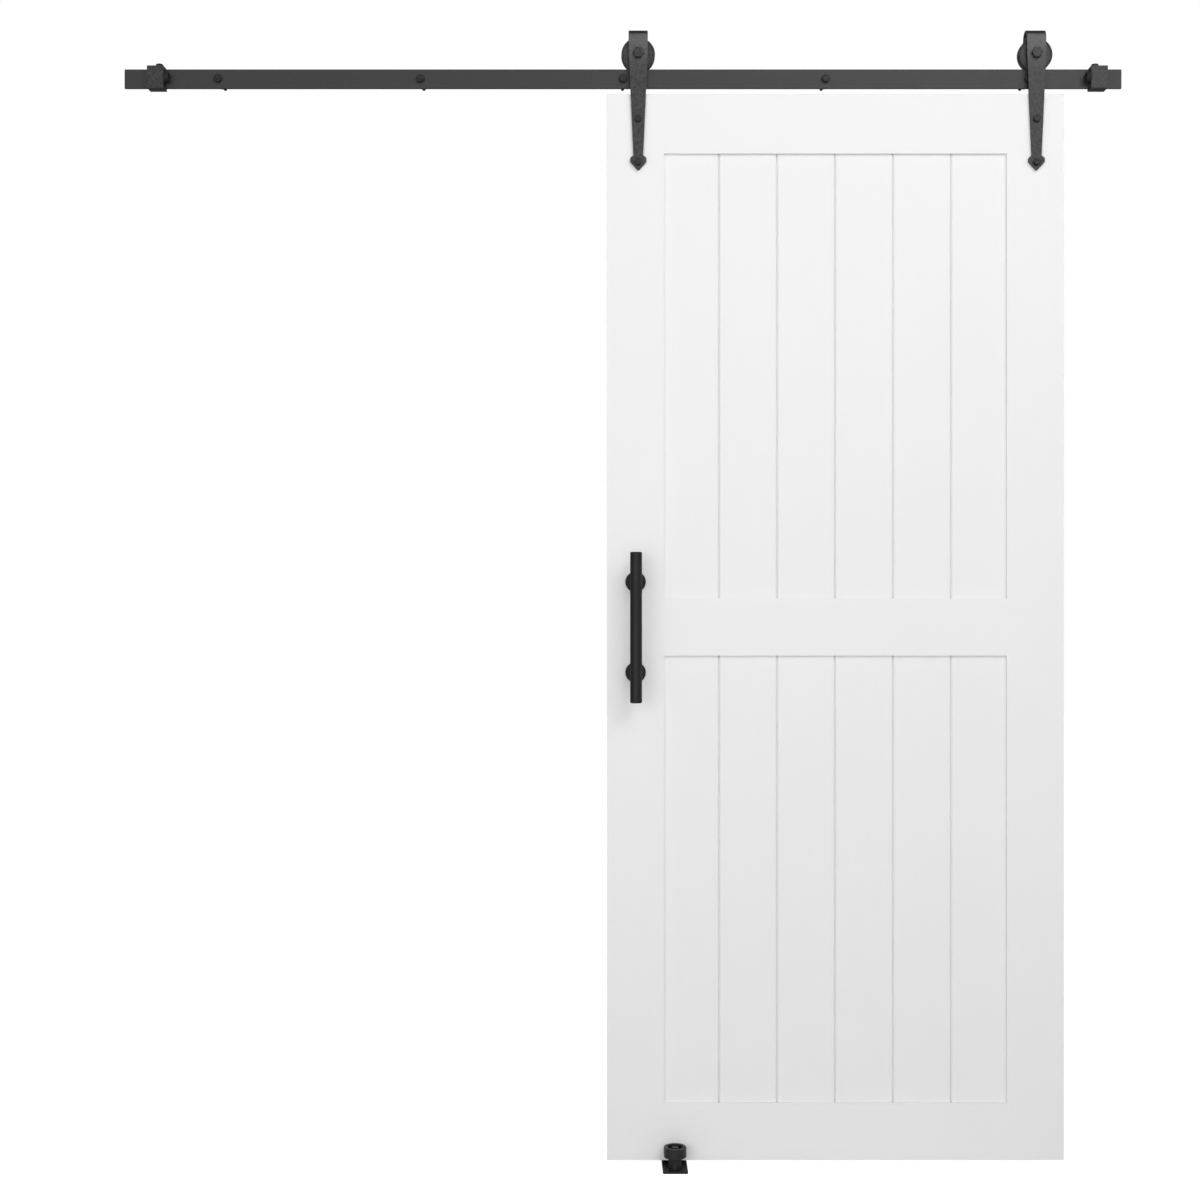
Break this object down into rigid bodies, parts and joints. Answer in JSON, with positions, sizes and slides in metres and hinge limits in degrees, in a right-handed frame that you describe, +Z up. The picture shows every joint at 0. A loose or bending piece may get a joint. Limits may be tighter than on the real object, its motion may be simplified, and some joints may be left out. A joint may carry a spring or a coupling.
{
  "type": "sliding barn door with flat rail hardware",
  "caption": "White planked barn door hung by arrow-ended straps on grooved wheels from a dark flat rail, with end stops, a round pull bar and a roller floor guide.",
  "frame": {"origin": "on the wall's face, on the axis of the rail's middle lag bolt", "axes": "+X along the rail towards the closed side, +Y into the wall, +Z up"},
  "size_m": [2, 0.1462, 2.3056],
  "materials": {
    "powder_coat": "satin",
    "wheel_coat": "satin",
    "handle_coat": "satin",
    "black_bolt": "satin",
    "bearing_steel": "polished",
    "cage_brass": "satin",
    "zinc_plate": "satin",
    "bumper_rubber": "matte",
    "guide_steel": "satin",
    "guide_plastic": "matte",
    "painted_wood": "satin",
    "bare_wood": "matte"
  },
  "bodies": {
    "root": {"rail": "powder_coat", "rail_spacers": "powder_coat", "lag_washers": "black_bolt", "lag_bolts": "black_bolt", "left_stop_block": "powder_coat", "left_stop_bumper": "bumper_rubber", "right_stop_block": "powder_coat", "right_stop_bumper": "bumper_rubber", "bumper_screws": "black_bolt", "stop_clamp_screws": "black_bolt", "guide_base_plate": "guide_steel", "guide_axle_screw": "black_bolt", "guide_washer": "black_bolt", "guide_spacer": "guide_steel", "guide_glide_pad": "guide_plastic", "guide_pad_screws": "black_bolt", "guide_floor_screws": "black_bolt"},
    "door": {"left_strap": "powder_coat", "right_strap": "powder_coat", "left_bearing_inner_race": "bearing_steel", "right_bearing_inner_race": "bearing_steel", "left_axle_bolt": "black_bolt", "right_axle_bolt": "black_bolt", "axle_bushes": "zinc_plate", "axle_nuts": "black_bolt", "door_bolts": "black_bolt", "door_bolt_washers": "zinc_plate", "door_bolt_nuts": "zinc_plate", "left_stile": "painted_wood", "right_stile": "painted_wood", "door_top_rail": "painted_wood", "door_middle_rail": "painted_wood", "door_bottom_rail": "painted_wood", "frame_dowels": "bare_wood", "upper_board_1": "painted_wood", "upper_board_2": "painted_wood", "upper_board_3": "painted_wood", "upper_board_4": "painted_wood", "upper_board_5": "painted_wood", "upper_board_6": "painted_wood", "lower_board_1": "painted_wood", "lower_board_2": "painted_wood", "lower_board_3": "painted_wood", "lower_board_4": "painted_wood", "lower_board_5": "painted_wood", "lower_board_6": "painted_wood", "handle_bar": "handle_coat", "handle_posts": "handle_coat", "handle_flanges": "handle_coat", "handle_bolts": "zinc_plate", "handle_washers": "zinc_plate"},
    "left_wheel_body": {"left_wheel": "wheel_coat", "left_bearing_outer_race": "bearing_steel"},
    "left_ball_body": {"left_bearing_balls": "bearing_steel", "left_bearing_cage": "cage_brass"},
    "right_wheel_body": {"right_wheel": "wheel_coat", "right_bearing_outer_race": "bearing_steel"},
    "right_ball_body": {"right_bearing_balls": "bearing_steel", "right_bearing_cage": "cage_brass"},
    "roller_body": {"guide_roller": "guide_plastic"}
  },
  "joints": [
    {"name": "door_slide", "type": "slide", "parent": "root", "child": "door", "axis": [1, 0, 0], "range_m": [-0.92, 0.081]},
    {"name": "left_wheel_turn", "type": "hinge", "parent": "door", "child": "left_wheel_body", "pos_m": [0.0303, -0.035, 0.0475], "axis": [0, 1, 0], "range_deg": [-1852, 165]},
    {"name": "left_ball_turn", "type": "hinge", "parent": "door", "child": "left_ball_body", "pos_m": [0.0303, -0.035, 0.0475], "axis": [0, 1, 0], "range_deg": [-1167, 105]},
    {"name": "right_wheel_turn", "type": "hinge", "parent": "door", "child": "right_wheel_body", "pos_m": [0.8264, -0.035, 0.0475], "axis": [0, 1, 0], "range_deg": [-1852, 165]},
    {"name": "right_ball_turn", "type": "hinge", "parent": "door", "child": "right_ball_body", "pos_m": [0.8264, -0.035, 0.0475], "axis": [0, 1, 0], "range_deg": [-1167, 105]},
    {"name": "roller_turn", "type": "hinge", "parent": "root", "child": "roller_body", "pos_m": [0.103, -0.0698, -2.1416], "axis": [0, 0, 1], "continuous": true}
  ],
  "couplings": [
    {"joint": "left_wheel_turn", "follows": "door_slide", "rad_per_m": 35.088},
    {"joint": "left_ball_turn", "follows": "door_slide", "rad_per_m": 22.089},
    {"joint": "right_wheel_turn", "follows": "door_slide", "rad_per_m": 35.088},
    {"joint": "right_ball_turn", "follows": "door_slide", "rad_per_m": 22.089}
  ]
}
